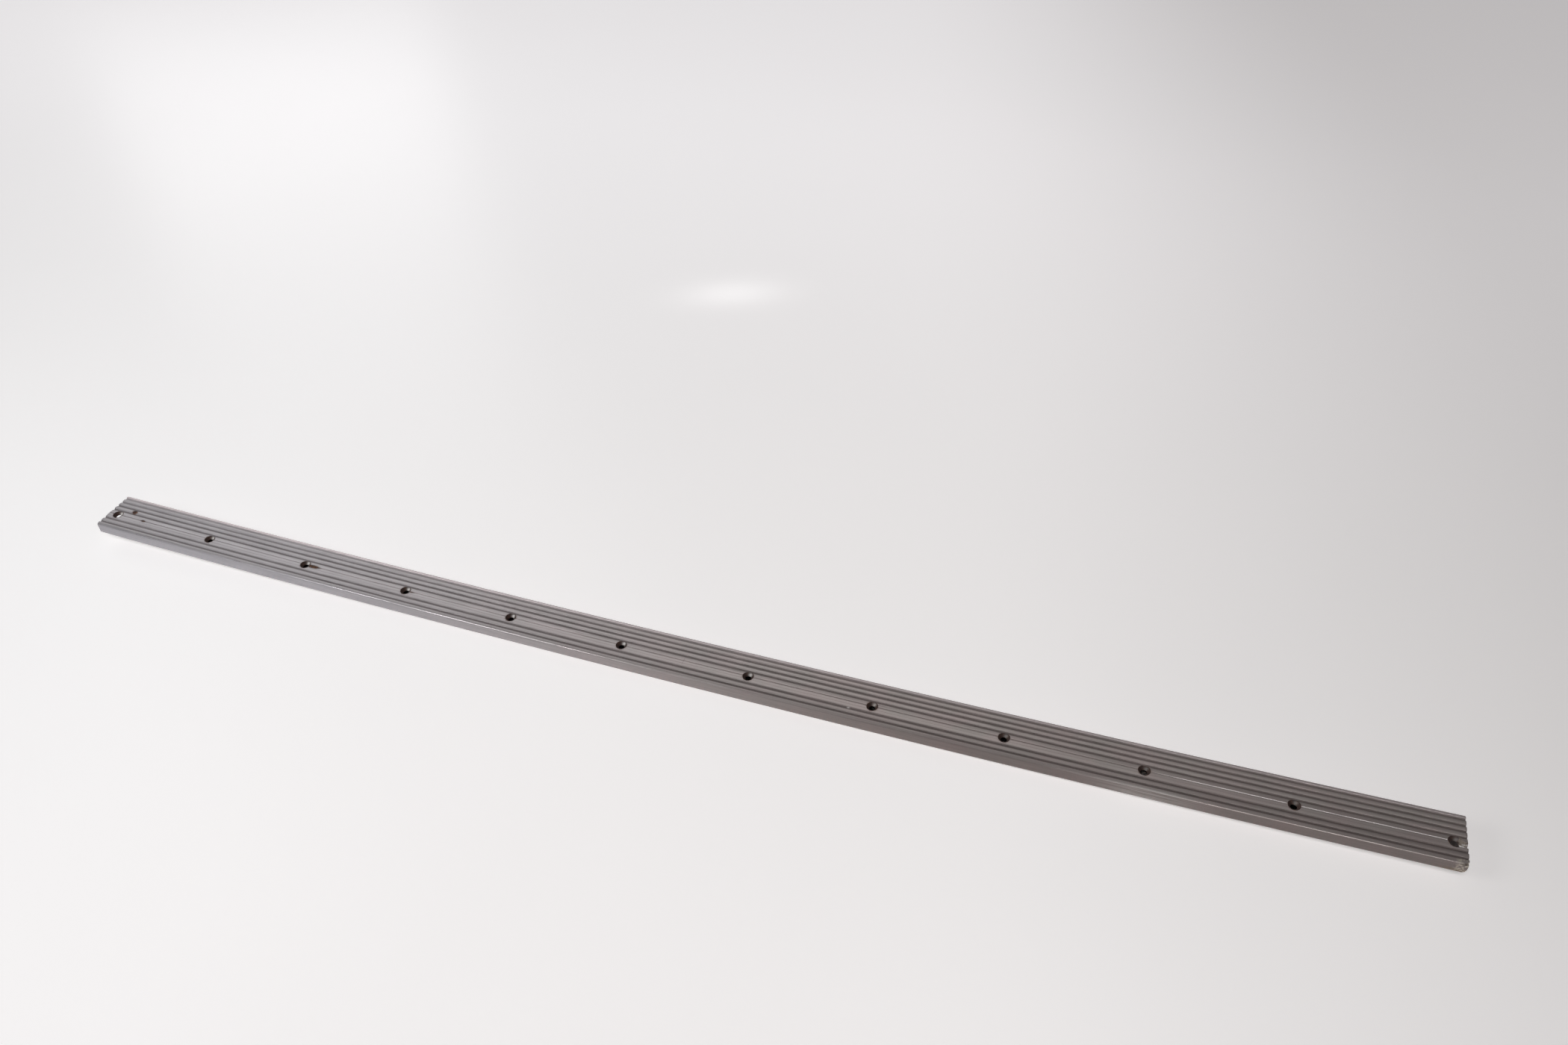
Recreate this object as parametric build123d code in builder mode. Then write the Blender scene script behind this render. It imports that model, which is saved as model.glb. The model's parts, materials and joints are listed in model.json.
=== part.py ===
from build123d import *
from math import asin, cos, degrees, sin, sqrt
import os

# A magnetic knife rack for a cutting room wall, lying on its back with its ribbed face up.
# It is a long ribbed aluminium channel. A steel keeper strip slides into the channel along two
# lips, and flat ferrite magnets sit on the keeper, two between each pair of screw holes.
# X runs along the rack, Y from the nose edge to the rear edge, Z out of the wall.
# The rack has taken a bow: on a flat surface its middle touches and its ends stand up.
# The origin is under the middle of the rack, on the surface that it rests on. Sizes are in mm.

# Screw holes, counted from the left end
hole_count = 12
hole_pitch = 100.0
middle_extra = 8.3       # the pitch across the middle of the rack is longer by this much
left_margin = 9.9        # from the left end to the first hole
right_margin = 8.2       # from the last hole to the right end
hole_offset = 16.3       # from the nose edge to the row of holes
screw_hole = 4.8         # diameter
countersink = 8.6        # diameter at the face
countersink_angle = 82.0

# Section of the channel
face_width = 40.0
body_depth = 11.2        # from the back of the walls to the top of the lands
bow_rise = 9.5           # how far the ends stand above the middle
plate = 3.0              # face plate, from its inside to the top of the lands
nose_wall = 2.6
rear_wall = 2.2
lip_reach = 1.8          # how far each lip stands into the channel
lip_height = 1.0

# Ribbing of the face
groove_offsets = (4.6, 10.0, 21.3, 26.6, 31.6, 36.7)   # from the nose edge
groove_width = 1.5
groove_depth = 0.85      # below the edges of the lands
land_crown = 0.45        # the middle of a land stands this far above its edges
guide_width = 0.8        # the fine V line that the holes are drilled along
guide_depth = 0.45
nose_radius = 1.4        # top corner of the nose
nose_heel = 2.0          # lower corner of the nose
rear_radius = 0.5        # top corner of the rear edge

# Steel keeper and magnets
keeper_thickness = 1.5
keeper_side_gap = 0.3    # each side, to slide along the channel
keeper_inset = 3.0       # back from each cut end of the channel
keeper_hole = 6.0        # clearance for the screws
screw_room = 15.0        # left clear of magnets around each screw, along the rack
magnet_spacing = 1.0     # between the two magnets of a bay
magnet_side_gap = 0.6    # each side, inside the channel
magnet_top_gap = 0.1     # under the face plate

# Damage at the right end. Places are from the last hole, towards the end and the rear edge.
broken_front = ((0.0, -3.2), (2.6, -3.4), (5.2, -3.3), (6.4, -3.0), (7.4, -3.6))
broken_rear = ((8.0, 0.6), (7.3, 1.6), (6.2, 1.4), (5.2, 2.3), (3.9, 2.8), (1.8, 3.4), (0.0, 3.4))
chip_length = 6.5        # the chipped corner of the nose, back from the right end
chip_width = 1.3
chip_depth = 1.6
chip_taper = -30.0       # the sides of the chip lean outwards, in degrees
chip_steps = ((0.0, 0.0), (0.3, 0.5), (0.55, 0.4), (0.8, 1.0))   # shares of its length and its width

overrun = 5.0            # how far a cut runs past the metal

# Sizes that follow
row_length = (hole_count - 1) * hole_pitch + middle_extra
rack_length = left_margin + row_length + right_margin
left_end = -rack_length / 2
right_end = rack_length / 2
row_middle = (left_margin - right_margin) / 2
bow_radius = ((rack_length / 2) ** 2 + bow_rise ** 2) / (2 * bow_rise)
nose_y = -face_width / 2
hole_y = nose_y + hole_offset
land_edge = body_depth - land_crown
plate_underside = body_depth - plate
keeper_top = lip_height + keeper_thickness
keeper_width = face_width - nose_wall - rear_wall - 2 * keeper_side_gap
magnet_length = (hole_pitch - screw_room - magnet_spacing) / 2
magnet_width = face_width - nose_wall - rear_wall - 2 * magnet_side_gap
magnet_thickness = plate_underside - magnet_top_gap - keeper_top
channel_middle = (nose_wall + face_width - rear_wall) / 2
bow_axis = Axis((row_middle, 0, bow_radius), (0, -1, 0))

hole_places = []
for number in range(hole_count):
    past_middle = middle_extra if number >= hole_count / 2 else 0.0
    hole_places.append(left_end + left_margin + number * hole_pitch + past_middle)


def bow_angle(x):
    """Angle, in radians, of the bowed rack at a place x along it."""
    return asin((x - row_middle) / bow_radius)


def section_plane(x):
    """Plane square to the bowed rack at x: its X runs from the nose to the rear, its Y out of the wall."""
    angle = bow_angle(x)
    place = (x, nose_y, bow_radius * (1 - cos(angle)))
    return Plane(origin=place, x_dir=(0, 1, 0), z_dir=(cos(angle), 0, sin(angle)))


def height_at(x, level):
    """Height at x of the bowed surface that lies level above the back of the walls."""
    return bow_radius - sqrt((bow_radius - level) ** 2 - (x - row_middle) ** 2)


def bow_between(start, end):
    """Degrees that the bow turns through from start to end."""
    return degrees(bow_angle(end) - bow_angle(start))


os.makedirs("parts", exist_ok=True)

# The ribbed channel
with BuildPart() as face_extrusion:
    with BuildSketch(section_plane(left_end)):
        with BuildLine():
            # the nose, from its heel up to the first land
            RadiusArc((nose_heel, 0), (0, nose_heel), nose_heel)
            Line((0, nose_heel), (0, land_edge - nose_radius))
            RadiusArc((0, land_edge - nose_radius), (nose_radius, land_edge), nose_radius)
            # the lands, gently crowned, with a round groove after each but the last
            land_start = nose_radius
            for offset in groove_offsets + (None,):
                last = offset is None
                land_end = face_width - rear_radius if last else offset - groove_width / 2
                crest = ((land_start + land_end) / 2, body_depth)
                ThreePointArc((land_start, land_edge), crest, (land_end, land_edge))
                if not last:
                    land_start = offset + groove_width / 2
                    bottom = (offset, land_edge - groove_depth)
                    ThreePointArc((land_end, land_edge), bottom, (land_start, land_edge))
            # the rear wall, its lip, the inside of the channel and the lip of the nose wall
            RadiusArc(
                (face_width - rear_radius, land_edge),
                (face_width, land_edge - rear_radius),
                rear_radius,
            )
            Polyline(
                (face_width, land_edge - rear_radius),
                (face_width, 0),
                (face_width - rear_wall - lip_reach, 0),
                (face_width - rear_wall - lip_reach, lip_height),
                (face_width - rear_wall, lip_height),
                (face_width - rear_wall, plate_underside),
                (nose_wall, plate_underside),
                (nose_wall, lip_height),
                (nose_wall + lip_reach, lip_height),
                (nose_wall + lip_reach, 0),
                (nose_heel, 0),
            )
        make_face()
        with BuildLine():
            # the guide line, a narrow V along the wide land
            Polyline(
                (hole_offset, body_depth - guide_depth),
                (hole_offset - guide_width, body_depth + guide_depth),
                (hole_offset + guide_width, body_depth + guide_depth),
                close=True,
            )
        make_face(mode=Mode.SUBTRACT)
    revolve(axis=bow_axis, revolution_arc=bow_between(left_end, right_end))

    # countersunk screw holes, drilled parallel so that they line up with a flat wall
    for x in hole_places:
        with Locations((x, hole_y, height_at(x, body_depth))):
            CounterSinkHole(
                radius=screw_hole / 2,
                counter_sink_radius=countersink / 2,
                depth=body_depth,
                counter_sink_angle=countersink_angle,
            )

    # the last hole has broken out through the cut end
    last_x = hole_places[-1]
    end_reach = right_margin + overrun
    broken_outline = broken_front + ((end_reach, broken_front[-1][1]),)
    broken_outline += ((end_reach, broken_rear[0][1]),) + broken_rear
    with BuildSketch(Plane.XY.offset(height_at(last_x, plate_underside) - plate)):
        with BuildLine():
            Polyline([(last_x + along, hole_y + across) for along, across in broken_outline], close=True)
        make_face()
    extrude(amount=3 * plate, mode=Mode.SUBTRACT)

    # the corner of the nose is chipped at the same end
    with BuildSketch(Plane.XY.offset(height_at(right_end, body_depth) - chip_depth)):
        with BuildLine():
            Polyline(
                (right_end - chip_length, nose_y - overrun),
                *[
                    (right_end - (1 - along) * chip_length, nose_y + across * chip_width)
                    for along, across in chip_steps
                ],
                (right_end + overrun, nose_y + chip_width),
                (right_end + overrun, nose_y - overrun),
                close=True,
            )
        make_face()
    extrude(amount=2 * chip_depth, taper=chip_taper, mode=Mode.SUBTRACT)

face_extrusion.part.label = "face_extrusion"
export_step(face_extrusion.part, "parts/face_extrusion.step")

# The steel keeper, resting on the lips of the channel
keeper_start = left_end + keeper_inset
keeper_end = right_end - keeper_inset
with BuildPart() as keeper_strip:
    with BuildSketch(section_plane(keeper_start)):
        with Locations((channel_middle, lip_height + keeper_thickness / 2)):
            Rectangle(keeper_width, keeper_thickness)
    revolve(axis=bow_axis, revolution_arc=bow_between(keeper_start, keeper_end))
    for x in hole_places:
        with Locations((x, hole_y, height_at(x, keeper_top))):
            Hole(radius=keeper_hole / 2, depth=2 * keeper_thickness)

keeper_strip.part.label = "keeper_strip"
export_step(keeper_strip.part, "parts/keeper_strip.step")

# The magnets, two in each bay between neighbouring screw holes
magnet_number = 0
for left_hole, right_hole in zip(hole_places, hole_places[1:]):
    bay_middle = (left_hole + right_hole) / 2
    for start in (bay_middle - magnet_spacing / 2 - magnet_length, bay_middle + magnet_spacing / 2):
        magnet_number += 1
        name = f"magnet_{magnet_number:02d}"
        with BuildPart() as magnet:
            with BuildSketch(section_plane(start)):
                with Locations((channel_middle, keeper_top + magnet_thickness / 2)):
                    Rectangle(magnet_width, magnet_thickness)
            revolve(axis=bow_axis, revolution_arc=bow_between(start, start + magnet_length))
        magnet.part.label = name
        export_step(magnet.part, f"parts/{name}.step")

print("rack length", round(rack_length, 2), "bow radius", round(bow_radius, 1))
print("row of holes", [round(x, 2) for x in hole_places])
print("magnets", magnet_number, "each", magnet_length, magnet_width, round(magnet_thickness, 2))
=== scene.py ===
# %% [markdown]
# # A magnetic knife rack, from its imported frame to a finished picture
# The rack is one long ribbed aluminium channel that lies on its back with its ribs up. A steel keeper
# and a row of ferrite magnets sit inside it. The frame that we load holds every part at its true size
# and place, so nothing here is fitted by eye. What is left to do is the looks: a finer skin for the
# channel, the wear on it, four finishes, a plain studio and a camera.

# %% Load the fixed frame
import json
import math
import bpy
import numpy as np
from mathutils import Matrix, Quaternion, Vector


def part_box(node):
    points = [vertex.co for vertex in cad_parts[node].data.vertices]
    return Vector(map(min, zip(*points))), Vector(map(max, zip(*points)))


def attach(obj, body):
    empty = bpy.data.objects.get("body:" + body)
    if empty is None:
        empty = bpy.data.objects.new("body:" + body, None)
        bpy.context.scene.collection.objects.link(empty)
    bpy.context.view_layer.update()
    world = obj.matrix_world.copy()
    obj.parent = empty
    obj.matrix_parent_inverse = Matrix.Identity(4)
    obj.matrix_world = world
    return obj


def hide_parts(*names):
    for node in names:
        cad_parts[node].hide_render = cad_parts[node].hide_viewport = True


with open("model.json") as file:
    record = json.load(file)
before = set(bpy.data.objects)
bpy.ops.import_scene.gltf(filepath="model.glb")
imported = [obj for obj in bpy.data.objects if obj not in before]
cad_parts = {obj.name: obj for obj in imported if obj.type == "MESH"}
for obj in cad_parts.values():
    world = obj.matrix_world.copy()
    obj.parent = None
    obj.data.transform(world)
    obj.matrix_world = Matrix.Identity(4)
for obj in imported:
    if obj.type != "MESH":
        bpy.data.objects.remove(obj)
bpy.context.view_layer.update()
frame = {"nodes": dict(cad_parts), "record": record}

mounts = {mount["name"]: mount for mount in frame["record"]["mounts"]}

# %% [markdown]
# ## Measures
# Blender works in metres and a maker thinks of this section in millimetres, so `mm` turns one into the
# other. Lengths that belong to the whole rack come from the frame. The rest describe the section of
# the channel: across it we measure from the nose edge, and the level is counted from the wall plane.

# %% Measures of the rack
mm = 0.001
rack_low, rack_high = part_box("face_extrusion")
rack_left, rack_right = rack_low.x, rack_high.x
face_width = rack_high.y - rack_low.y
nose_y = rack_low.y
body_depth = 11.2 * mm
plate = 3.0 * mm
nose_wall, rear_wall = 2.6 * mm, 2.2 * mm
lip_reach, lip_height = 1.8 * mm, 1.0 * mm
groove_offsets = [offset * mm for offset in (4.6, 10.0, 21.3, 26.6, 31.6, 36.7)]
groove_width, groove_depth, land_crown = 1.5 * mm, 0.85 * mm, 0.45 * mm
guide_half, guide_depth = 0.4 * mm, 0.45 * mm
nose_radius, nose_heel, rear_radius = 1.4 * mm, 2.0 * mm, 0.5 * mm
bow_rise = 9.5 * mm
countersink_radius, hole_radius, countersink_drop = 4.3 * mm, 2.4 * mm, 2.19 * mm
land_edge = body_depth - land_crown

# %% [markdown]
# ## Where the screw holes are
# The record states ten of the twelve holes as pairs, each pair with its middle and its spacing, and the
# first hole by itself. The twelfth has broken out through the end of the rack, so no mount states it,
# but it mirrors the first about the middle of the row.

# %% Places of the screw holes
pairs = [mounts[name] for name in sorted(mounts) if name.startswith("screws_")]
row_middle = pairs[0]["pos_m"][0]
hole_y = pairs[0]["pos_m"][1]
reaches = [pair["dims"]["spacing_x_mm"] * mm / 2 for pair in pairs]
reaches.append(row_middle - mounts["screw_01"]["pos_m"][0])
hole_x = np.array(sorted([row_middle - r for r in reaches] + [row_middle + r for r in reaches]))
hole_offset = hole_y - nose_y
hole_pitch = hole_x[1] - hole_x[0]
print("holes at", (hole_x / mm).round(1), "pitch", round(hole_pitch / mm, 1))

# %% [markdown]
# ## The bow
# The rack has been bent a little: its middle touches the table and its ends stand about a finger's
# width up. The bow is an arc of a very large circle above the rack, so a straight section can be
# carried round it. Working with the true arc keeps the new skin exactly on the old one.

# %% Carry a point round the bow
half_length = (rack_right - rack_left) / 2
bow_radius = (half_length**2 + bow_rise**2) / (2 * bow_rise)


def on_the_bow(along, offset, level):
    """Points in the row frame of the bowed rack.

    The turn is the arc sine of the distance from the row's middle over the bow's radius. A point at a
    level sits that much nearer the bow's centre, so its X is the shortened radius times the sine, and
    its Z is the radius less the shortened radius times the cosine.
    """
    turn = np.arcsin((along - row_middle) / bow_radius)
    short = bow_radius - level
    x = row_middle + short * np.sin(turn)
    z = bow_radius - short * np.cos(turn)
    return np.stack(np.broadcast_arrays(x, nose_y + offset, z), axis=-1)


print("bow radius", round(bow_radius, 2), "m, rise", round(bow_rise / mm, 1), "mm")

# %% [markdown]
# ## The section of the channel
# A die gives an extrusion the same section all along, so the whole face is one outline. Each land is a
# shallow arc, each groove a deeper one turned over, and the nose has a tight round corner above and a
# softer heel below. Arcs are sampled more finely than the frame's mesh has them, because the long
# soft highlights that make it read as metal run along these very curves.


# %% Arcs for an outline
def bulge(start, end, level, rise, count):
    """A circular arc over a level chord, sunk when rise is negative.

    The radius is half the chord squared plus the rise squared, over twice the rise. The arc turns each
    way by twice the angle whose tangent is the rise over half the chord, in even steps.
    """
    half = (end - start) / 2
    radius = (half**2 + rise**2) / (2 * abs(rise))
    turn = np.linspace(-2, 2, count) * math.atan(abs(rise) / half)
    height = radius * np.cos(turn) - (radius - abs(rise))
    return np.stack([(start + end) / 2 + radius * np.sin(turn), level + np.sign(rise) * height], axis=1)


def corner(centre, radius, first, last, count):
    """A round corner: the centre plus the radius times cosine and sine, from one angle to another."""
    turn = np.radians(np.linspace(first, last, count))
    return np.stack([centre[0] + radius * np.cos(turn), centre[1] + radius * np.sin(turn)], axis=1)


# %% The closed outline, from the heel of the nose over the face and round the inside
def channel_outline():
    """Points (offset, level) of the whole section, in order."""
    parts = [
        corner((nose_heel, nose_heel), nose_heel, 270, 180, 9),
        corner((nose_radius, land_edge - nose_radius), nose_radius, 180, 90, 12),
    ]
    start = nose_radius
    for offset in groove_offsets + [None]:
        end = face_width - rear_radius if offset is None else offset - groove_width / 2
        land = bulge(start, end, land_edge, land_crown, 15)
        if start < hole_offset < end:
            land = with_guide_line(start, end)
        parts.append(land[1:])
        if offset is not None:
            start = offset + groove_width / 2
            parts.append(bulge(end, start, land_edge, -groove_depth, 11)[1:])
    parts.append(corner((face_width - rear_radius, land_edge - rear_radius), rear_radius, 90, 0, 6)[1:])
    inner_rear, inner_nose = face_width - rear_wall, nose_wall
    underside = body_depth - plate
    inside = [
        (face_width, 0), (inner_rear - lip_reach, 0), (inner_rear - lip_reach, lip_height),
        (inner_rear, lip_height), (inner_rear, underside), (inner_nose, underside),
        (inner_nose, lip_height), (inner_nose + lip_reach, lip_height), (inner_nose + lip_reach, 0),
    ]
    parts.append(np.array(inside))
    return np.concatenate(parts)


def with_guide_line(start, end):
    """The wide land, its arc opened at the row of holes by a narrow V, whose point is guide_depth down."""
    arc = bulge(start, end, land_edge, land_crown, 61)
    before = arc[arc[:, 0] < hole_offset - guide_half]
    after = arc[arc[:, 0] > hole_offset + guide_half]
    shoulder = np.interp(hole_offset, arc[:, 0], arc[:, 1])
    across = np.linspace(-1, 1, 9)
    notch = np.stack([hole_offset + guide_half * across, shoulder - guide_depth * (1 - abs(across))], axis=1)
    return np.concatenate([before[::3], notch, after[::3], arc[-1:]])


outline = channel_outline()
print("outline points", len(outline))

# %% [markdown]
# ## From a sampled outline to the skin of the channel
# An extrusion die has no perfectly sharp edges, and a sharp edge in a render gives itself away at once.
# Averaging each point of the face with its neighbours rounds every edge by a tenth of a millimetre.
# The skin is then the outline repeated at many stations along the bow. Stations stand closer together
# near the broken end, where more will be cut away.

# %% Soften the edges of the face
inside_points = 9
face_points = outline[:, 1] > body_depth / 2
face_points[-inside_points:] = False
for _ in range(2):
    averaged = (np.roll(outline, 1, axis=0) + 2 * outline + np.roll(outline, -1, axis=0)) / 4
    outline = np.where(face_points[:, None], averaged, outline)
print("points on the face", int(face_points.sum()))

# %% Stations along the rack
usual_step, close_step = 3 * mm, 0.5 * mm
close_part = 16 * mm
usual_count = int((rack_right - close_part - rack_left) / usual_step)
close_count = round(close_part / close_step) + 1
stations = np.concatenate([
    np.linspace(rack_left, rack_right - close_part, usual_count),
    np.linspace(rack_right - close_part, rack_right, close_count)[1:],
])
print("stations", len(stations))

# %% [markdown]
# ## Knocks and nicks
# A strip that has hung in a cutting room for years is never straight to the last tenth. Each knock is a
# small bell-shaped hollow pressed into the skin along its own normal, and most of them are on the
# exposed corner of the nose. They are drawn from a seeded generator, so every run has the same ones.

# %% Hollows pressed into the face
chance = np.random.default_rng(12)
knock_count, share_on_corner = 46, 0.6
spared_end = 20 * mm
knock_x = chance.uniform(rack_left + spared_end, rack_right - spared_end, knock_count)
knock_offset = np.where(
    chance.random(knock_count) < share_on_corner,
    chance.uniform(-0.2 * mm, 1.2 * mm, knock_count),
    chance.uniform(4 * mm, face_width, knock_count),
)
knock_long = chance.uniform(2.5 * mm, 7 * mm, knock_count)
knock_wide = chance.uniform(0.5 * mm, 1.1 * mm, knock_count)
knock_deep = chance.uniform(0.05 * mm, 0.22 * mm, knock_count)
# the corner is the stiffest part of the section, so a knock there goes in about half as far
corner_give = 0.45
knock_deep *= np.where(knock_offset < 2 * mm, corner_give, 1.0)


def knocked_in(along, offset):
    """Depth of the knocks: the sum of each knock's depth times e to minus its scaled distance squared."""
    far = ((along[..., None] - knock_x) / knock_long) ** 2
    far += ((offset[..., None] - knock_offset) / knock_wide) ** 2
    return (knock_deep * np.exp(-far)).sum(axis=-1)


# %% The skin as a grid of points
edge_ease = 0.15 * mm
tangent = np.roll(outline, -1, axis=0) - np.roll(outline, 1, axis=0)
outward = np.stack([-tangent[:, 1], tangent[:, 0]], axis=1)
outward /= np.linalg.norm(outward, axis=1, keepdims=True)
along = np.repeat(stations[:, None], len(outline), axis=1)
sunk = knocked_in(along, np.broadcast_to(outline[:, 0], along.shape)) * face_points
# the saw leaves a hair of an edge that wears away, so the two end rings are drawn in
sunk[[0, -1]] += edge_ease
section = outline[None] - outward[None] * sunk[..., None]
skin_points = on_the_bow(along, section[..., 0], section[..., 1])
print("deepest knock", round(float(sunk[1:-1].max() / mm), 2), "mm")

# %% [markdown]
# ## Meshes from grids
# Neighbouring rings of a grid are joined by quads. The order of each quad's corners decides which way it
# faces, and outwards is what a renderer, a printer and a boolean cut all expect. Each open end is
# closed by one polygon that runs round its ring.


# %% Join rings into a closed mesh
def mesh_object(name, points, faces):
    """An object at the origin whose mesh has these points and faces."""
    mesh = bpy.data.meshes.new(name)
    mesh.from_pydata(points.reshape(-1, 3).tolist(), [], faces)
    mesh.validate()
    made = bpy.data.objects.new(name, mesh)
    bpy.context.scene.collection.objects.link(made)
    return made


def ring_faces(rings, around, first=0):
    """Faces of a tube of rings: quads between neighbouring rings, and a cap on each end.

    Point j of ring i has the number i times the ring's length plus j, and the last point of a ring is
    followed by its first.
    """
    i, j = np.meshgrid(np.arange(rings - 1), np.arange(around), indexing="ij")
    after = (j + 1) % around
    quads = np.stack([i * around + j, (i + 1) * around + j, (i + 1) * around + after, i * around + after], -1)
    caps = [list(range(around)), list(range(rings * around - 1, (rings - 1) * around - 1, -1))]
    return (quads.reshape(-1, 4) + first).tolist() + [[first + n for n in cap] for cap in caps]


ribbed_channel = mesh_object("ribbed_channel", skin_points, ring_faces(len(stations), len(outline)))
print("skin has", len(ribbed_channel.data.polygons), "faces")

# %% [markdown]
# ## Drilling
# A countersunk hole is what a drill and a rose bit leave, so it is cut the same way: a turned tool is
# worked out as rings round an axis and taken away from the skin with an exact boolean. The tool's
# shoulder flares a little at the face, as a hand-held bit rolls the soft metal over. No two holes come
# out quite alike, so each has its own small change of width.


# %% A turned cutting tool for every hole
def turned_tools(profile, places, spread, around=40):
    """Solids of revolution at several places, as one set of points and faces.

    A ring point is the place plus the profile's radius times cosine and sine, at the profile's height.
    """
    turn = np.linspace(2 * math.pi, 0, around, endpoint=False)
    circle = np.stack([np.cos(turn), np.sin(turn), np.zeros(around)], axis=1)
    points, faces = [], []
    for place, wide in zip(places, spread):
        rings = profile[:, None, :1] * wide * circle + profile[:, None, 1:] * np.array([0, 0, 1])
        faces += ring_faces(len(profile), around, first=len(points) * len(profile) * around)
        points.append(rings + place)
    return np.array(points), faces


# each row is a radius and a height over the face, from the tip of the tool upwards
flare = 0.35 * mm
tool_profile = np.array([
    (hole_radius, -countersink_drop - 2.5 * mm),
    (hole_radius, -countersink_drop - 0.1 * mm),
    (hole_radius + 0.1 * mm, -countersink_drop + 0.08 * mm),
    (countersink_radius - 0.12 * mm, -0.16 * mm),
    (countersink_radius + 0.08 * mm, 0.02 * mm),
    (countersink_radius + flare, 0.09 * mm),
    (countersink_radius + flare, 2 * mm),
])
face_height = bow_radius - np.sqrt((bow_radius - body_depth) ** 2 - (hole_x - row_middle) ** 2)
hole_places = np.stack([hole_x, np.full(len(hole_x), hole_y), face_height], axis=1)
hole_widths = chance.uniform(0.97, 1.02, len(hole_x))
tool_points, tool_faces = turned_tools(tool_profile, hole_places, hole_widths)
drill = mesh_object("drill", tool_points, tool_faces)


# %% Take a tool away from a piece
def cut_away(piece, tool):
    """The piece less the tool, with the change applied and the tool removed."""
    change = piece.modifiers.new("cut", "BOOLEAN")
    change.object, change.operation, change.solver = tool, "DIFFERENCE", "EXACT"
    ready = bpy.context.evaluated_depsgraph_get()
    finished = bpy.data.meshes.new_from_object(piece.evaluated_get(ready))
    piece.modifiers.clear()
    piece.data = finished
    bpy.data.objects.remove(tool)
    print(piece.name, "now has", len(finished.polygons), "faces")


cut_away(ribbed_channel, drill)

# %% [markdown]
# ## The torn end
# The last hole is so near the saw cut that the metal between them has torn out, and the corner of the
# nose beside it is chipped. Torn metal is rough at every scale that can be seen, so the outline of the
# tear is cut into short steps and every point of the cutter is pushed sideways by seeded chance.


# %% A cutter with torn sides
def torn_cutter(name, corners, low, high, step, roughness, squeeze=None, lying=False):
    """A tall cutter over a polygon, its sides broken up.

    Each side is divided into steps, the outline is stacked in layers, and every point of every layer
    moves by chance, up to the roughness, in the plane of the outline. Squeezing multiplies the second
    coordinate's distance from a line by a share that grows from the lowest layer to one at the top.
    Lying down, the outline is in X and Z, and the layers run along Y.
    """
    closed = np.array(corners + corners[:1])[:: 1 if lying else -1]
    runs = np.linalg.norm(np.diff(closed, axis=0), axis=1)
    cuts = [np.linspace(0, 1, max(2, int(run / step) + 1))[:-1] for run in runs]
    rim = np.concatenate([a + (b - a) * cut[:, None] for a, b, cut in zip(closed, closed[1:], cuts)])
    levels = np.linspace(low, high, max(3, int((high - low) / step)))
    layers = np.zeros((len(levels), len(rim), 3))
    layers[..., :2] = rim + chance.uniform(-roughness, roughness, (len(levels), len(rim), 2))
    if squeeze:
        line, share = squeeze
        kept = np.linspace(share, 1, len(levels))[:, None]
        layers[..., 1] = line + (layers[..., 1] - line) * kept
    layers[..., 2] = levels[:, None]
    if lying:
        layers = layers[..., [0, 2, 1]]
    return mesh_object(name, layers, ring_faces(len(levels), len(rim)))


# %% The slot that the last hole has torn into
# steps in millimetres from the hole's centre, towards the end and towards the rear edge
torn_steps = [
    (-1.5, -3.4), (2.0, -3.7), (5.2, -3.5), (6.4, -3.1), (7.0, -3.6), (13.0, -3.8), (13.0, 0.6), (7.9, 0.7),
    (7.3, 1.7), (6.4, 1.3), (5.7, 2.3), (4.7, 2.0), (3.9, 3.0), (2.8, 2.8), (1.8, 3.6), (0.0, 4.0),
]
last_x, last_top = hole_x[-1], face_height[-1]
torn = [(last_x + a * mm, hole_y + b * mm) for a, b in torn_steps]
tear_low, tear_high = last_top - 3.4 * mm, last_top + 0.6 * mm
break_step, tear_roughness = 0.4 * mm, 0.15 * mm
squeeze = (hole_y - 2.6 * mm, 0.3)
tear = torn_cutter("tear", torn, tear_low, tear_high, break_step, tear_roughness, squeeze)
cut_away(ribbed_channel, tear)

# %% The chipped corner and heel of the nose
# steps in millimetres from the corner of the end, in X and then in Y or Z
chip_roughness, heel_roughness, heel_break_step = 0.18 * mm, 0.16 * mm, 0.5 * mm
end_top = last_top + 0.25 * mm
end_low = bow_radius - math.sqrt(bow_radius**2 - (rack_right - row_middle) ** 2)
chip_steps = [(-5.5, -5.0), (5.0, -5.0), (5.0, 2.2), (-0.9, 2.1), (-1.6, 1.2), (-2.9, 0.7), (-5.2, -0.1)]
chip = [(rack_right + a * mm, nose_y + b * mm) for a, b in chip_steps]
chip_low, chip_high = end_top - 2.2 * mm, end_top + 2 * mm
chipped = torn_cutter("chipped", chip, chip_low, chip_high, break_step, chip_roughness)
cut_away(ribbed_channel, chipped)
heel_steps = [(-3.6, -2.0), (4.0, -2.0), (4.0, 5.6), (0.0, 4.8), (-0.9, 2.6), (-2.2, 1.2), (-3.5, 0.1)]
heel = [(rack_right + a * mm, end_low + b * mm) for a, b in heel_steps]
near, far = nose_y - mm, nose_y + 5 * mm
broken_heel = torn_cutter("heel", heel, near, far, heel_break_step, heel_roughness, lying=True)
cut_away(ribbed_channel, broken_heel)

# %% Smooth shading, but sharp along the cuts
crease = math.radians(34)
ribbed_channel.data.shade_smooth()
ribbed_channel.data.set_sharp_from_angle(angle=crease)
print("edges sharper than", round(math.degrees(crease)), "degrees stay sharp")

# %% [markdown]
# ## The new skin takes the old one's place
# The frame's own channel stays in the simulation for collision, but it is hidden here, and the finer
# skin says that it stands for it. The keeper and the magnets keep the frame's meshes, because they are
# plain flat shapes that are already exact.

# %% Hang the skin on the frame
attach(ribbed_channel, "root")
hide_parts("face_extrusion")

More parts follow.
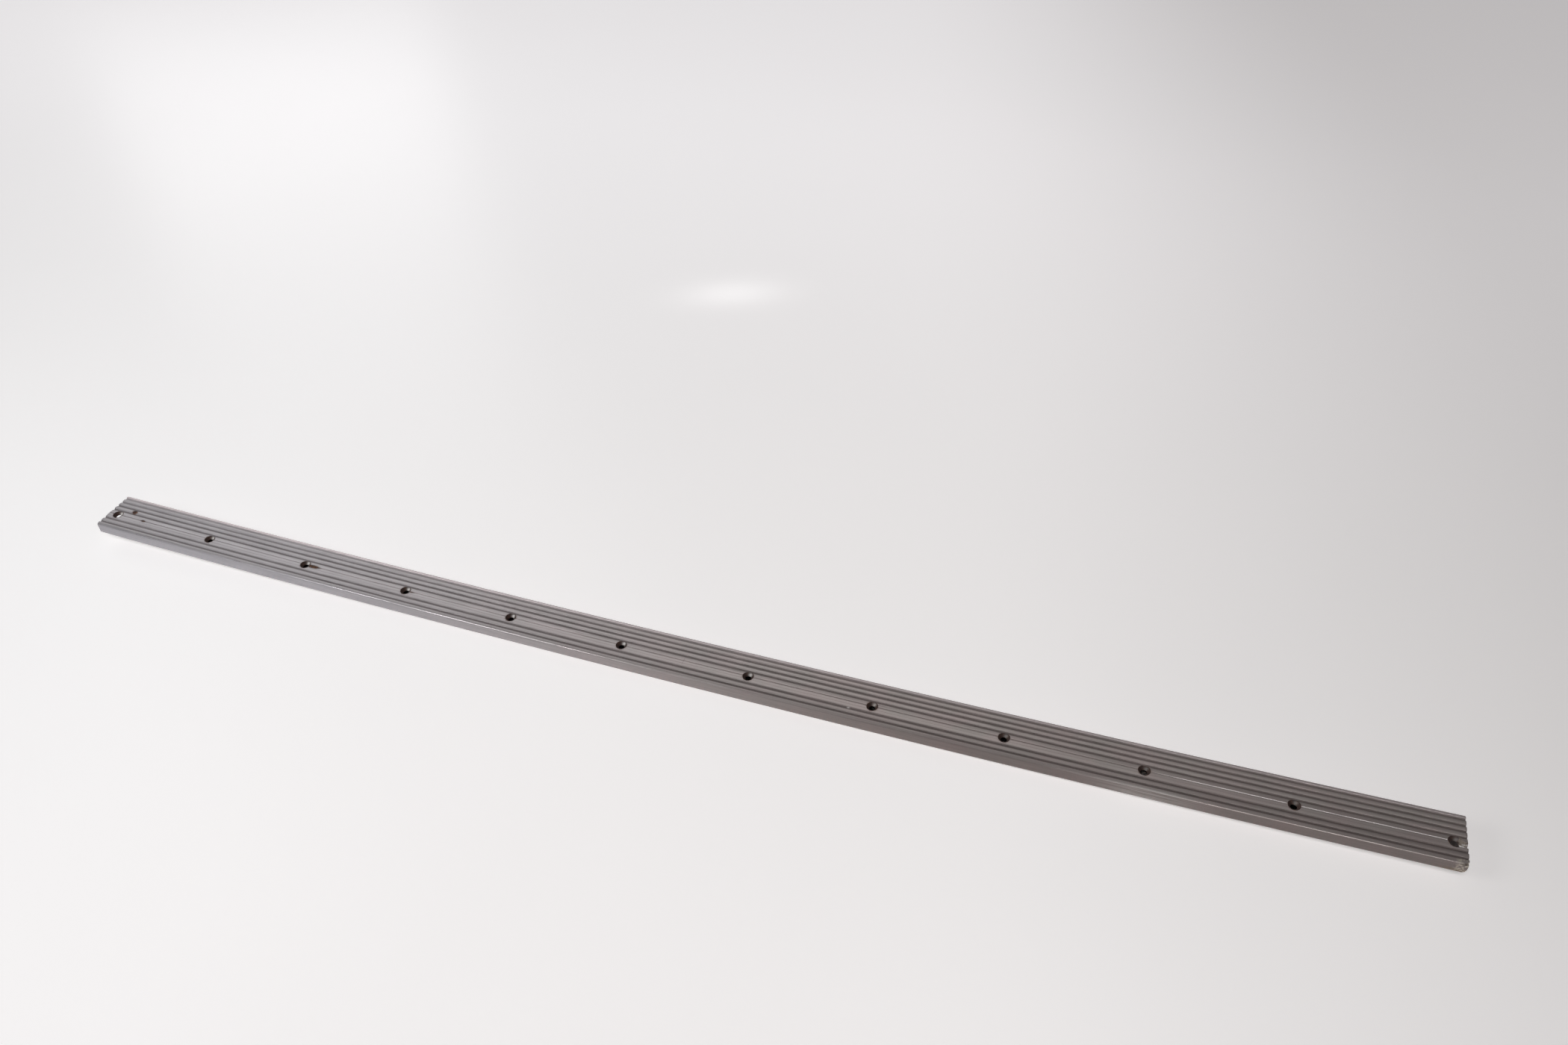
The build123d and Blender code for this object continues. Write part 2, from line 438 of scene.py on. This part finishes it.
# %% [markdown]
# ## Arithmetic on sockets
# A finish is mostly arithmetic: a mask is a distance, smoothed, times some noise. Written as nodes by
# hand it is hard to read, so a small class wraps a socket and lets Python's own operators add the Math
# nodes. Every other node comes from its one method `node`.


# %% A socket that can be calculated with
class Socket:
    """One output of a node in a material's tree."""

    def __init__(self, tree, output=None):
        self.tree = tree
        self.output = output

    def node(self, kind, inputs, pick=0, **settings):
        """Add a node: first its settings, then the values or links of its inputs."""
        made = self.tree.nodes.new(kind)
        for name, setting in settings.items():
            setattr(made, name, setting)
        for name, value in inputs.items():
            if isinstance(value, Socket):
                self.tree.links.new(value.output, made.inputs[name])
            else:
                made.inputs[name].default_value = value
        return Socket(self.tree, made.outputs[pick])

    def maths(self, operation, *others):
        """A Math node whose first value is this socket."""
        return self.node("ShaderNodeMath", dict(enumerate((self, *others))), operation=operation)

    def __add__(self, other):
        return self.maths("ADD", other)

    def __sub__(self, other):
        return self.maths("SUBTRACT", other)

    def __rsub__(self, other):
        return self.node("ShaderNodeMath", {0: other, 1: self}, operation="SUBTRACT")

    def __mul__(self, other):
        return self.maths("MULTIPLY", other)

    def __truediv__(self, other):
        return self.maths("DIVIDE", other)

    def __abs__(self):
        return self.maths("ABSOLUTE")

    __radd__ = __add__
    __rmul__ = __mul__


# %% [markdown]
# ## Words for the finishes
# A few helpers say what a finish is made of. `rises` turns a value into a soft mask that goes from none
# to all between two limits, and falls when the limits are given the other way round. `patch` is a soft
# oval. `grain` is noise, and stretching it along X gives the streaks that a die leaves in metal.


# %% Masks, noise and blends
def rises(value, none_at, all_at):
    """Smoothstep: with t the value's share of the way between the limits, t squared times 3 less 2t."""
    return value.node(
        "ShaderNodeMapRange", {"Value": value, "From Min": none_at, "From Max": all_at},
        interpolation_type="SMOOTHSTEP",
    )


def patch(along, across, middle, reach):
    """e to minus the squared distance from a middle, with each axis scaled by the patch's reach."""
    far = (along - middle[0]) / reach[0]
    wide = (across - middle[1]) / reach[1]
    nearness = -1 * (far * far + wide * wide)
    return nearness.maths("EXPONENT")


def grain(place, size, stretch=1.0, detail=3.0):
    """Noise whose features are about one size across, and longer along X by the stretch."""
    scaled = place.node("ShaderNodeMapping", {"Vector": place, "Scale": (1 / stretch, 1.0, 1.0)})
    return scaled.node("ShaderNodeTexNoise", {"Vector": scaled, "Scale": 1 / size, "Detail": detail})


def blend(share, first, second, how="MIX"):
    """The first colour with a share of the second mixed, multiplied or added in."""
    colours = {"Factor": share, 6: first, 7: second}
    return share.node("ShaderNodeMix", colours, pick=2, data_type="RGBA", blend_type=how)


def new_finish(name):
    """An empty material, and the place of a shaded point in it."""
    material = bpy.data.materials.new(name)
    material.use_nodes = True
    place = Socket(material.node_tree).node("ShaderNodeTexCoord", {}, pick="Object")
    return material, place


def axes(place):
    """The X, Y and Z of a place."""
    split = place.node("ShaderNodeSeparateXYZ", {"Vector": place}).output.node
    return [Socket(place.tree, output) for output in split.outputs]


def finish_with(material, **inputs):
    """Feed the material's shader, where an underscore in a name stands for a space."""
    shader = material.node_tree.nodes["Principled BSDF"]
    for name, value in inputs.items():
        entry = shader.inputs[name.replace("_", " ")]
        if isinstance(value, Socket):
            material.node_tree.links.new(value.output, entry)
        else:
            entry.default_value = value


def bumped(height, depth):
    """A normal that follows a height between 0 and 1, for relief of a depth."""
    return height.node("ShaderNodeBump", {"Height": height, "Distance": depth})


# %% [markdown]
# ## Aged aluminium
# Old bare aluminium is not silver. Its oxide has gone a warm mauve grey with greener blotches, dirt sits
# in the grooves, and the screws have left their rust in the countersinks. Painted shade darkens the grooves,
# the slopes that face the rear, the nose and the right end. Painted highlights lie on the rear edge, on the
# guide line near the right end and on one wall of each countersink, and the corner of the nose is spared the
# painted shade on two stretches. All of this follows the shape, so the material first works out where on the
# section a point lies: its offset from the nose, and its level above the wall with the bow removed.

# %% Where a point lies on the rack
aluminium, place = new_finish("aged_aluminium")
x, y, z = axes(place)
from_middle = x - row_middle
level = z - from_middle * from_middle / (2 * bow_radius)
offset = y - nose_y
# the middle gap of the row is wider than the rest, so the right half is slid left by that gap, and one
# wrapped distance then serves every hole
reach_to_first = hole_x[6] - row_middle
on_right = rises(from_middle, -1 * mm, 1 * mm)
folded = from_middle + (10 * hole_pitch + reach_to_first) - 2 * reach_to_first * on_right
past_hole = folded.maths("WRAP", hole_pitch / 2, -hole_pitch / 2)
behind_hole = y - hole_y
hole_squared = past_hole * past_hole + behind_hole * behind_hole
to_hole = hole_squared.maths("SQRT")
print("holes", round(2 * reach_to_first / mm, 1), "mm apart in the middle, else", round(hole_pitch / mm, 1))

# %% Colour of the clean metal
blotches = grain(place, 14 * mm, stretch=2.0)
straightened = place.node("ShaderNodeCombineXYZ", {"X": x, "Y": y, "Z": level})
streaks = grain(straightened, 0.6 * mm, stretch=60.0)
specks = grain(place, 0.5 * mm, detail=2.0)
cool_grey, mauve_grey = (0.42, 0.402, 0.415, 1), (0.445, 0.385, 0.37, 1)
green_grey = (0.43, 0.39, 0.37, 1)
streak_shade, speck_shade = (0.62, 0.60, 0.59, 1), (0.5, 0.46, 0.44, 1)
# the metal is cooler at the left end and warmer towards the right, and the marks below that follow this share
# darken the right end with painted shade
toward_right_end = rises(x, -450 * mm, 250 * mm)
metal = blend(rises(blotches, 0.35, 0.65), mauve_grey, green_grey)
metal = blend(toward_right_end, cool_grey, metal)
metal = blend(rises(streaks, 0.3, 0.75) * 0.35, metal, streak_shade, "MULTIPLY")
metal = blend(rises(specks, 0.58, 0.72) * 0.3, metal, speck_shade, "MULTIPLY")

# %% Parts of the section
first_groove, second_groove, last_groove = groove_offsets[0], groove_offsets[1], groove_offsets[-1]
die_offset = 13.4 * mm
on_face = rises(offset, 2.4 * mm, 3.2 * mm)
near_edge = rises(offset, 2.0 * mm, 1.0 * mm)
on_corner = rises(level, land_edge - nose_radius, land_edge - 0.4 * mm) * near_edge
in_groove = rises(level, land_edge + 0.15 * mm, land_edge - 0.35 * mm) * on_face
normal_y = axes(place.node("ShaderNodeNewGeometry", {}, pick="Normal"))[1]
rear_slopes = rises(normal_y, 0.05, 0.5) * on_face
in_guide = rises(abs(offset - hole_offset), 0.5 * mm, 0.2 * mm)
die_line = rises(abs(offset - die_offset), 0.45 * mm, 0.15 * mm)
past_first = rises(offset, first_groove - 0.8 * mm, first_groove - 0.2 * mm)
at_nose = 1 - past_first
near_nose = rises(offset, second_groove + 0.5 * mm, second_groove - 0.5 * mm) * past_first
at_rear = rises(offset, last_groove + 0.2 * mm, last_groove + 1.2 * mm)
nose_front = rises(offset, 1.0 * mm, 0.2 * mm)
print("nodes so far", len(aluminium.node_tree.nodes))

# %% Painted shade on the rear slopes, dirt and painted shade in the grooves, a painted glint on the guide line
painted_slope_shade, groove_grime_and_shade = (0.62, 0.59, 0.58, 1), (0.24, 0.21, 0.205, 1)
guide_grime_and_shade, die_shade = (0.4, 0.36, 0.35, 1), (0.6, 0.57, 0.56, 1)
painted_guide_glint = (0.85, 0.81, 0.80, 1)
# slopes that face the rear are darkened as painted shade, for light that comes from the front
metal = blend(rear_slopes * 0.8, metal, painted_slope_shade, "MULTIPLY")
# the grooves are darkened partly as dirt and partly as painted shade in the recess, more towards the right
# end and less in the two rearmost grooves
lighter_rear_grooves = rises(offset, 29 * mm, 35 * mm) * (0.5 - 0.35 * toward_right_end)
groove_dirt_and_shade = in_groove * (0.45 + 0.15 * toward_right_end + 0.3 * blotches - lighter_rear_grooves)
metal = blend(groove_dirt_and_shade, metal, groove_grime_and_shade, "MULTIPLY")
# the guide line is darkened left of the last holes, partly as dirt and partly as painted shade in the V
metal = blend(in_guide * rises(x, 400 * mm, 330 * mm) * 0.6, metal, guide_grime_and_shade, "MULTIPLY")
# near the right end the guide line is painted bright, a painted glint
metal = blend(in_guide * rises(x, 355 * mm, 390 * mm) * 0.7, metal, painted_guide_glint)
metal = blend(die_line * 0.4, metal, die_shade, "MULTIPLY")

# %% Painted shade and highlight on the rear edge and the nose, and the nose's cool tint
cool_tint, painted_land_shade = (0.985, 1.0, 1.03, 1), (0.5, 0.48, 0.48, 1)
painted_rear_highlight, painted_nose_shade = (0.70, 0.62, 0.63, 1), (0.38, 0.355, 0.355, 1)
metal = blend(nose_front * (1 - toward_right_end), metal, cool_tint, "MULTIPLY")
# the lands just behind the nose get painted shade, more towards the right end
metal = blend(near_nose * (0.1 + 0.25 * toward_right_end), metal, painted_land_shade, "MULTIPLY")
# the rear edge is painted lighter and pinker, a painted highlight, less so towards the right end
metal = blend(at_rear * (0.75 - 0.35 * toward_right_end), metal, painted_rear_highlight)
# the nose is darkened with painted shade, more towards the right end and most on its front; on the corner
# that shade is largely lifted and the metal is smoother, for the corner's highlight, except on one stretch
# right of the middle
corner_highlight_stretch = on_corner * (1 - rises(x, 0.0, 90 * mm) * rises(x, 340 * mm, 270 * mm))
nose_shade_share = at_nose * (0.4 * toward_right_end + 0.45 * rises(x, -150 * mm, 300 * mm) * nose_front)
metal = blend(nose_shade_share * (1 - 0.6 * corner_highlight_stretch), metal, painted_nose_shade, "MULTIPLY")

# %% Rust that the screws have left
ragged = grain(place, 1.6 * mm, detail=4.0)
in_sink = rises(to_hole + 0.6 * mm * (ragged - 0.5), 4.75 * mm, 4.2 * mm)
halo = rises(to_hole + 4 * mm * (ragged - 0.5), 7.5 * mm, 4.4 * mm) * 0.45
# a patch on the rear wall of each countersink is rubbed free of rust, and below it is painted near white as a
# painted glint that fades towards the right end
rubbed_wall_glint = patch(past_hole, behind_hole, (1.0 * mm, 2.7 * mm), (1.5 * mm, 1.0 * mm))
rubbed_wall_glint = rubbed_wall_glint * (1 - 0.8 * rises(x, -100 * mm, 300 * mm))
in_sink = in_sink * (1 - rubbed_wall_glint)
# each mark has a place, an offset, two reaches and a strength
rust_marks = [
    (hole_x[0] + 12.3 * mm, 23.6 * mm, 2.5 * mm, 2.0 * mm, 1.3),
    (hole_x[0] + 27.5 * mm, hole_offset, 2.6 * mm, 1.3 * mm, 1.0),
    (hole_x[2] + 8.0 * mm, hole_offset - 0.4 * mm, 6.5 * mm, 1.8 * mm, 1.2),
    (hole_x[3] + 6 * mm, hole_offset - 0.5 * mm, 4.0 * mm, 1.2 * mm, 0.6),
]
rust = in_sink.maths("MAXIMUM", halo * rises(ragged, 0.4, 0.6))
for mark_x, mark_offset, long, wide, strength in rust_marks:
    mark = patch(x, offset, (mark_x, mark_offset), (long, wide)) * strength * (0.5 + ragged)
    rust = rust.maths("MAXIMUM", mark)
rust_brown, rust_orange = (0.045, 0.026, 0.022, 1), (0.20, 0.095, 0.05, 1)
rust_colour = blend(rises(ragged, 0.42, 0.7) * (1 - 0.8 * in_sink), rust_brown, rust_orange)
rusty = rises(rust, 0.12, 0.8)
print("rust marks besides the countersinks", len(rust_marks))

# %% Scuffs, a chip and the torn metal
scuffed = patch(x, offset, (360 * mm, 0.6 * mm), (32 * mm, 1.6 * mm)) * rises(streaks, 0.35, 0.6)
chipped_spot = patch(x, offset, (hole_x[7] - 17 * mm, 10.2 * mm), (1.0 * mm, 0.6 * mm))
beyond = rises(x, last_x + 2.0 * mm, last_x + 3.2 * mm)
below_face = rises(level, body_depth - 0.1 * mm, body_depth - 0.5 * mm)
in_tear = rises(abs(behind_hole), 4.4 * mm, 3.6 * mm) * below_face
at_end = rises(x, rack_right - 10 * mm, rack_right - 4 * mm) * rises(offset, 4.4 * mm, 2.6 * mm)
torn_wall = beyond * in_tear * (0.35 + 0.65 * rises(ragged, 0.42, 0.56))
torn_metal = torn_wall.maths("MAXIMUM", at_end * rises(ragged, 0.44, 0.60))
stained_end = rises(x, rack_right - 22 * mm, rack_right - 4 * mm) * at_nose * rises(level, 6 * mm, 2 * mm)

# %% Their colours, laid over the metal
bare_metal, painted_glint_metal = (0.62, 0.59, 0.57, 1), (0.93, 0.90, 0.87, 1)
end_stain, torn_pale, torn_dark = (0.20, 0.15, 0.10, 1), (0.50, 0.45, 0.38, 1), (0.26, 0.22, 0.18, 1)
metal = blend(rusty, metal, rust_colour)
metal = blend((scuffed * 0.5).maths("MAXIMUM", chipped_spot), metal, bare_metal)
# the rubbed patch painted near white: a painted glint
metal = blend(rubbed_wall_glint * rises(to_hole, 4.3 * mm, 3.9 * mm), metal, painted_glint_metal)
metal = blend(stained_end * 0.7, metal, end_stain)
metal = blend(torn_metal * 0.85, metal, blend(torn_wall, torn_pale, torn_dark))

# %% Roughness, relief and the finished aluminium
rough = 0.42 + 0.14 * (streaks - 0.5) + 0.16 * (blotches - 0.5) + 0.15 * in_groove
rough = rough - 0.12 * corner_highlight_stretch + 0.15 * scuffed - 0.15 * rubbed_wall_glint
rough = rough * (1 - rusty) + 0.8 * rusty
rough = rough * (1 - torn_metal) + 0.6 * torn_metal
relief = 0.5 * streaks + 0.3 * specks + rust * ragged
finish_with(
    aluminium,
    Base_Color=metal,
    Metallic=0.9 - 0.75 * rusty - 0.3 * torn_metal - 0.3 * in_groove,
    Roughness=rough,
    Normal=bumped(relief, 0.035 * mm),
)
ribbed_channel.data.materials.clear()
ribbed_channel.data.materials.append(aluminium)
print("aluminium finish has", len(aluminium.node_tree.nodes), "nodes")

# %% [markdown]
# ## Keeper steel and ferrite
# The keeper is cold-rolled strip, shut away behind the wall, so it is mid grey with a lengthwise grain
# and a light bloom of rust. Ferrite is a pressed and fired ceramic. It is nearly black and matt, and its
# powdery grain is a little paler in places.

# %% Steel of the keeper
steel, place = new_finish("keeper_steel")
rolled = grain(place, 0.4 * mm, stretch=90.0)
bloom = grain(place, 9 * mm, detail=5.0)
spots = grain(place, 1.2 * mm, detail=3.0)
rusting = rises(bloom, 0.52, 0.68) * rises(spots, 0.40, 0.62)
steel_grey = blend(rises(rolled, 0.3, 0.7), (0.36, 0.355, 0.35, 1), (0.47, 0.465, 0.46, 1))
finish_with(
    steel,
    Base_Color=blend(rusting, steel_grey, (0.17, 0.075, 0.04, 1)),
    Metallic=1 - 0.85 * rusting,
    Roughness=0.34 + 0.2 * rolled + 0.3 * rusting,
    Normal=bumped(0.4 * rolled + rusting * spots, 0.03 * mm),
)

# %% Ferrite of the magnets
ferrite, place = new_finish("ferrite")
powder = grain(place, 0.35 * mm, detail=4.0)
pressed = grain(place, 6 * mm)
finish_with(
    ferrite,
    Base_Color=blend(rises(powder, 0.35, 0.7), (0.030, 0.030, 0.032, 1), (0.075, 0.072, 0.070, 1)),
    Metallic=0.1,
    Roughness=0.62 + 0.2 * (pressed - 0.5) + 0.15 * powder,
    Normal=bumped(powder, 0.04 * mm),
)

# %% Put both on the frame's pieces
for name, node in frame["nodes"].items():
    if name != "face_extrusion":
        node.data.materials.clear()
        node.data.materials.append(steel if name == "keeper_strip" else ferrite)
print("magnets", sum(name.startswith("magnet_") for name in frame["nodes"]))

# %% [markdown]
# ## The table
# A sheet of pale satin board makes the plainest stage. It is a little glossy, so the lamps show in it as
# soft pools, and very slightly uneven, so that they are not perfect ovals. The board also glows, which is
# painted light: it keeps the shadow under the rack thin and pale, and a small painted pool of light lies on
# it behind the rack. The glow is painted on the board, so it stays put when the view changes.

# %% Floor
floor_reach = 6.0
floor_corners = np.array([(-1, -1, 0), (1, -1, 0), (1, 1, 0), (-1, 1, 0)]) * floor_reach
floor = mesh_object("floor", floor_corners, [(0, 1, 2, 3)])
print("board is", 2 * floor_reach, "m across")

# %% Satin of the board
board, place = new_finish("pale_board")
unevenness = grain(place, 180 * mm, detail=2.0)
floor_x, floor_y, _ = axes(place)
to_right = rises(floor_x, -0.7, 0.3)
dull_board = blend(to_right, (0.785, 0.778, 0.785, 1), (0.79, 0.762, 0.758, 1))
fresh_board = blend(to_right, (0.81, 0.803, 0.81, 1), (0.815, 0.785, 0.782, 1))
# the painted glow is brighter further back and dimmer to the right
glow = blend(rises(floor_y, 0.05, 1.1), (0.42, 0.410, 0.408, 1), (0.60, 0.585, 0.592, 1))
glow = blend(rises(floor_x + 0.3 * floor_y, 0.2, 1.0) * 0.6, glow, (0.40, 0.39, 0.385, 1), "MULTIPLY")
# a painted pool of light, where a lamp shows in the board behind the rack
spot_x, spot_y, spot_slant = -0.17, 0.547, 0.29
slanted = floor_y - spot_slant * (floor_x - spot_x)
lit_spot = patch(floor_x, slanted, (spot_x, spot_y), (0.052, 0.03))
glow = blend(lit_spot, glow, (0.12, 0.12, 0.12, 1), "ADD")
finish_with(
    board,
    Base_Color=blend(unevenness, dull_board, fresh_board),
    Roughness=0.30 + 0.06 * unevenness,
    Emission_Color=glow,
    Emission_Strength=1.0,
    Normal=bumped(grain(place, 2.5 * mm, detail=2.0), 0.01 * mm),
)
floor.data.materials.append(board)

# %% [markdown]
# ## Light
# Two wide fills light every matt surface from the camera's side, so hardly any shadow shows. All the
# other lamps are seen only in reflections, as a photographer's flags and boards are. The panels behind
# and overhead give the metal its long fall from light to dark and the board its soft pool, and two
# narrow keys in front put the two bright stretches on the corner of the nose.


# %% Lamps
def soft_lamp(name, place, target, size, watts):
    """A rectangular lamp at a place, facing a target."""
    lamp = bpy.data.lights.new(name, "AREA")
    lamp.shape = "RECTANGLE"
    lamp.size, lamp.size_y = size
    lamp.energy = watts
    stand = bpy.data.objects.new(name, lamp)
    stand.location = place
    aim = Vector(target) - Vector(place)
    stand.rotation_euler = aim.to_track_quat("-Z", "Y").to_euler()
    bpy.context.scene.collection.objects.link(stand)
    print(name, "is", round(aim.length, 2), "m away")
    return stand


fills = [
    soft_lamp("front_fill", (0.1, -1.6, 2.6), (0, 0, 0), (1.2, 0.8), 39),
    soft_lamp("left_fill", (-1.3, -0.9, 1.2), (-0.5, 0, 0), (0.8, 0.8), 8),
]
for stand in fills:
    stand.visible_glossy = False
reflected = [
    soft_lamp("left_panel", (-1.7, 1.2, 1.5), (-0.4, 0, 0), (1.4, 1.4), 5.8),
    soft_lamp("rear_panel", (-0.4, 1.45, 1.75), (0, 0, 0), (1.4, 1.4), 4.0),
    soft_lamp("rear_left_box", (-2.15, 2.1, 0.77), (-0.6, 0.4, 0), (0.9, 0.5), 2.4),
    soft_lamp("overhead_panel", (-0.6, 0.36, 1.6), (-0.6, 0.36, 0), (2.6, 0.6), 2.6),
    soft_lamp("left_key", (-1.1, -1.2, 1.3), (-0.2, 0, 0), (0.7, 0.4), 8.0),
    soft_lamp("right_key", (0.67, -1.2, 0.85), (0.45, 0, 0), (0.5, 0.3), 2.4),
    soft_lamp("overhead_box", (0.3, 0.36, 1.6), (0.3, 0.36, 0), (0.5, 0.6), 0.75),
]
for stand in reflected:
    stand.visible_diffuse = False

# %% Surround, which shows in reflections but leaves matt surfaces to the lamps
world = bpy.data.worlds.new("surround")
bpy.context.scene.world = world
world.use_nodes = True
toward = Socket(world.node_tree).node("ShaderNodeTexCoord", {}, pick="Generated")
toward_x, toward_y, _ = axes(toward)
sky = blend(rises(toward_x + 0.6 * toward_y, -0.9, 0.8), (0.95, 0.94, 0.95, 1), (0.40, 0.38, 0.385, 1))
world.node_tree.links.new(sky.output, world.node_tree.nodes["Background"].inputs["Color"])
world.node_tree.nodes["Background"].inputs["Strength"].default_value = 0.42
world.cycles_visibility.diffuse = False

# %% [markdown]
# ## Camera
# The camera looks down on the rack from the front and a little to the right, close enough that the
# right end is half as large again as the left. It leans over by a couple of degrees, as a hand-held
# camera does.

# %% Place the camera
eye = Vector((0.3058, -0.5770, 0.7180))
looked_at = Vector((0.0184, 0.1852, 0.0017))
lean = math.radians(-2.2)
lens = bpy.data.cameras.new("camera")
lens.sensor_width = 36.0
lens.lens = 27.69
lens.clip_start = 0.02
camera = bpy.data.objects.new("camera", lens)
turn = (looked_at - eye).to_track_quat("-Z", "Y") @ Quaternion((0, 0, 1), lean)
camera.location = eye
camera.rotation_euler = turn.to_euler()
bpy.context.scene.collection.objects.link(camera)
bpy.context.scene.camera = camera
bpy.context.scene.view_settings.view_transform = "Standard"
print("camera stands", round((looked_at - eye).length, 3), "m from what it looks at")
